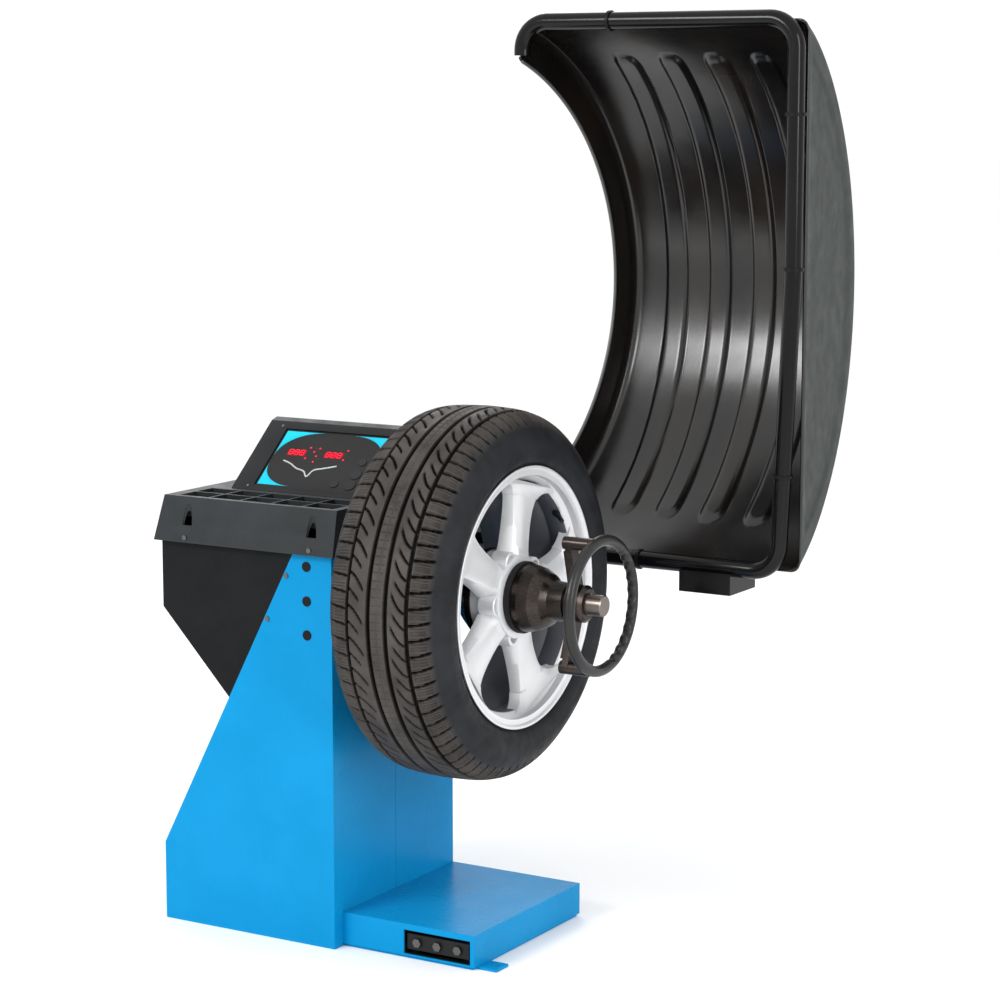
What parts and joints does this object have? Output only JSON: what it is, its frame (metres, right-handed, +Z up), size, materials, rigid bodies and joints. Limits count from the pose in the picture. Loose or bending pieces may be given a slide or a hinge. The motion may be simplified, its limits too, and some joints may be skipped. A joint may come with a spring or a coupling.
{
  "type": "wheel balancer",
  "caption": "Garage wheel balancer: blue steel cabinet on a low base, weight tray with sloping display, driven shaft with a mounted car wheel and quick nut, and a swing-over hood.",
  "frame": {"origin": "on the floor straight below the shaft axis, in the plane of the cabinet's right-hand side", "axes": "+X along the shaft towards its free end, +Y from the operator to the back, +Z up"},
  "size_m": [1.005, 1.0885, 1.6644],
  "materials": {
    "blue_paint": "glossy enamel",
    "black_sheet": "fine textured powder coat",
    "grey_plastic": "grained vacuum-formed plastic",
    "hood_plastic": "semi-gloss thermoformed plastic",
    "black_tube": "gloss black enamel",
    "tyre": "moulded tread rubber",
    "alloy": "silver lacquered casting",
    "steel": "machined steel",
    "dark_steel": "blackened steel with oily wear",
    "cast_grey": "cast and painted grey",
    "rubber": "matt black rubber",
    "membrane": "printed film, dark grey with cyan corners",
    "red_lamp": "red display window",
    "green_key": "moulded key",
    "red_key": "moulded key",
    "grey_key": "moulded key",
    "circuit": "circuit board",
    "copper": "lacquered windings and laminations",
    "zinc": "zinc plated",
    "black_plastic": "moulded black plastic"
  },
  "bodies": {
    "cabinet": {"base_plate": "blue_paint", "base_cover": "blue_paint", "lift_pocket": "black_sheet", "lift_bolts": "zinc", "front_panel": "blue_paint", "panel_plugs": "black_plastic", "case_screws": "zinc", "cabinet_shell": "blue_paint", "side_panel": "blue_paint", "rear_cover": "blue_paint", "tray_casing": "black_sheet", "weight_tray": "grey_plastic", "display_housing": "grey_plastic", "display_membrane": "membrane", "led_modules": "red_lamp", "display_board": "circuit", "spindle_housing": "cast_grey", "rear_bearing": "steel", "front_bearing": "steel", "chassis_column": "black_sheet", "suspension_springs": "steel", "force_sensors": "steel", "encoder_sensor": "black_plastic", "motor": "cast_grey", "belt": "rubber", "power_board": "circuit", "transformer": "copper", "gauge_bush": "black_plastic", "power_inlet": "black_plastic", "switch_frame": "black_plastic", "hood_bracket": "black_sheet", "hood_pin": "steel", "stop_bumper": "rubber"},
    "spindle": {"shaft": "steel", "backing_flange": "dark_steel", "centring_cone": "steel", "shaft_pulley": "alloy", "encoder_disc": "steel", "rim": "alloy", "tyre": "tyre", "valve_stem": "rubber"},
    "motor_rotor": {"motor_shaft": "steel", "motor_pulley": "alloy"},
    "cup": {"pressure_cup": "dark_steel", "cup_ring": "rubber"},
    "nut": {"nut_hub": "dark_steel", "nut_levers": "dark_steel", "handwheel_ring": "cast_grey"},
    "hood": {"hood_shell": "hood_plastic", "hood_frame": "black_tube", "hood_ties": "black_plastic", "hood_arm": "black_tube", "hood_clamp": "black_tube"},
    "gauge_slider": {"gauge_rod": "steel"},
    "gauge_finger": {"gauge_arm": "black_plastic"},
    "start_button": {"start_key": "green_key"},
    "stop_button": {"stop_key": "red_key"},
    "mode_button": {"mode_key": "grey_key"},
    "function_button": {"function_key": "grey_key"},
    "main_switch": {"switch_rocker": "red_key"}
  },
  "joints": [
    {"name": "shaft_spin", "type": "hinge", "parent": "cabinet", "child": "spindle", "pos_m": [0, 0, 0.634], "axis": [1, 0, 0], "continuous": true},
    {"name": "motor_spin", "type": "hinge", "parent": "cabinet", "child": "motor_rotor", "pos_m": [-0.15, 0.118, 0.515], "axis": [1, 0, 0], "continuous": true},
    {"name": "cup_slide", "type": "slide", "parent": "spindle", "child": "cup", "axis": [1, 0, 0], "range_m": [0, 0.0091]},
    {"name": "nut_turn", "type": "hinge", "parent": "cup", "child": "nut", "pos_m": [0.38, 0, 0.634], "axis": [1, 0, 0], "range_deg": [0, 1080]},
    {"name": "hood_swing", "type": "hinge", "parent": "cabinet", "child": "hood", "pos_m": [-0.09, 0.335, 0.8], "axis": [1, 0, 0], "range_deg": [0, 90]},
    {"name": "gauge_slide", "type": "slide", "parent": "cabinet", "child": "gauge_slider", "axis": [1, 0, 0], "range_m": [0, 0.1]},
    {"name": "gauge_swing", "type": "hinge", "parent": "gauge_slider", "child": "gauge_finger", "pos_m": [0.02, -0.105, 0.69], "axis": [-1, 0, 0], "range_deg": [0, 60]},
    {"name": "switch_tilt", "type": "hinge", "parent": "cabinet", "child": "main_switch", "pos_m": [-0.13, 0.192, 0.15], "axis": [0, 0, -1], "range_deg": [0, 14]},
    {"name": "start_press", "type": "slide", "parent": "cabinet", "child": "start_button", "axis": [0, 0.6544, -0.7562], "range_m": [0, 0.0012], "stiffness_N_per_m": 400, "springref_m": -0.0006},
    {"name": "stop_press", "type": "slide", "parent": "cabinet", "child": "stop_button", "axis": [0, 0.6544, -0.7562], "range_m": [0, 0.0012], "stiffness_N_per_m": 400, "springref_m": -0.0006},
    {"name": "mode_press", "type": "slide", "parent": "cabinet", "child": "mode_button", "axis": [0, 0.6544, -0.7562], "range_m": [0, 0.0012], "stiffness_N_per_m": 400, "springref_m": -0.0006},
    {"name": "function_press", "type": "slide", "parent": "cabinet", "child": "function_button", "axis": [0, 0.6544, -0.7562], "range_m": [0, 0.0012], "stiffness_N_per_m": 400, "springref_m": -0.0006}
  ],
  "couplings": [
    {"joint": "motor_spin", "follows": "shaft_spin", "ratio": 2.5},
    {"joint": "cup_slide", "follows": "nut_turn", "m_per_rad": 0.00047746}
  ]
}
